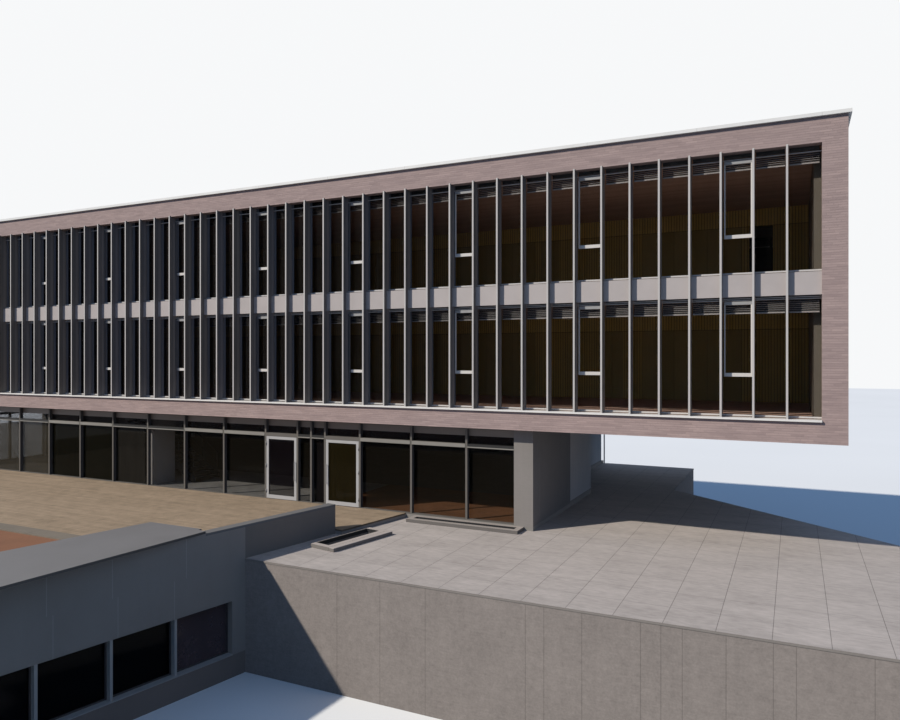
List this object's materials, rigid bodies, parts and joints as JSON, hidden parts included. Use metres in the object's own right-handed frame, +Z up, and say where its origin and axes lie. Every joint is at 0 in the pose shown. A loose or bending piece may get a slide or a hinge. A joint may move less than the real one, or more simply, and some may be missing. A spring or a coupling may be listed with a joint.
{
  "type": "school building",
  "caption": "School building: a long classroom block with close window fins over a glazed hall, with a terrace, timber deck, low wing and hinged hall doors.",
  "frame": {"origin": "middle of the block's length, on its front brick face, at the foot of the lowest walls", "axes": "+X along the front to the right as seen from outside, +Y into the building, +Z up"},
  "size_m": [39.317, 30.0529, 14.47],
  "materials": {
    "concrete": "fair-faced concrete",
    "terrace_concrete": "precast concrete panels",
    "wing_render": "grey panels",
    "paving": "square precast slabs",
    "timber": "weathered boards",
    "play_rubber": "cast rubber surface",
    "sheet_metal": "matt painted sheet",
    "light_metal": "light painted aluminium",
    "grey_metal": "grey painted aluminium",
    "brick": "fired brick in running bond",
    "spandrel_panel": "pale painted panels",
    "floor_finish": "terracotta floor finish",
    "roof_finish": "grey roof finish",
    "wall_paint": "olive painted masonry",
    "joinery_board": "painted boards",
    "blind_slats": "dark slats",
    "clear_glass": "clear glazing"
  },
  "bodies": {
    "building": {"lower_floor": "concrete", "lower_outer_walls": "concrete", "terrace_front_wall": "terrace_concrete", "terrace_side_walls": "terrace_concrete", "wing_sill_wall": "wing_render", "wing_upper_wall": "wing_render", "wing_window_frames": "light_metal", "wing_glass": "clear_glass", "wing_roof_slab": "concrete", "wing_coping": "sheet_metal", "wing_edge_copings": "sheet_metal", "play_surface": "play_rubber", "wing_upstand": "wing_render", "deck_slab": "concrete", "timber_deck": "timber", "deck_kerb": "concrete", "terrace_slab": "paving", "light_well_kerbs": "concrete", "ground_floor_slab": "floor_finish", "hall_walls": "concrete", "stair_treads": "concrete", "stair_strings": "grey_metal", "hall_frames": "grey_metal", "door_heads": "grey_metal", "hall_header": "light_metal", "hall_glass": "clear_glass", "first_floor_slab": "floor_finish", "second_floor_slab": "floor_finish", "roof_slab": "roof_finish", "brick_bands": "brick", "gable_walls": "brick", "roof_coping": "light_metal", "window_sills": "light_metal", "window_fins": "light_metal", "spandrels": "spandrel_panel", "casements": "light_metal", "blinds": "blind_slats", "first_floor_glass": "clear_glass", "second_floor_glass": "clear_glass", "corridor_walls": "wall_paint", "classroom_joinery": "joinery_board"},
    "left_door_leaf": {"left_door": "grey_metal", "left_door_glass": "clear_glass"},
    "right_door_leaf": {"right_door": "grey_metal", "right_door_glass": "clear_glass"}
  },
  "joints": [
    {"name": "left_door_hinge", "type": "hinge", "parent": "building", "child": "left_door_leaf", "pos_m": [-0.071, 0.4175, 4.3], "axis": [0, 0, -1], "range_deg": [0, 90]},
    {"name": "right_door_hinge", "type": "hinge", "parent": "building", "child": "right_door_leaf", "pos_m": [3.921, 0.4175, 4.3], "axis": [0, 0, 1], "range_deg": [0, 90]}
  ]
}
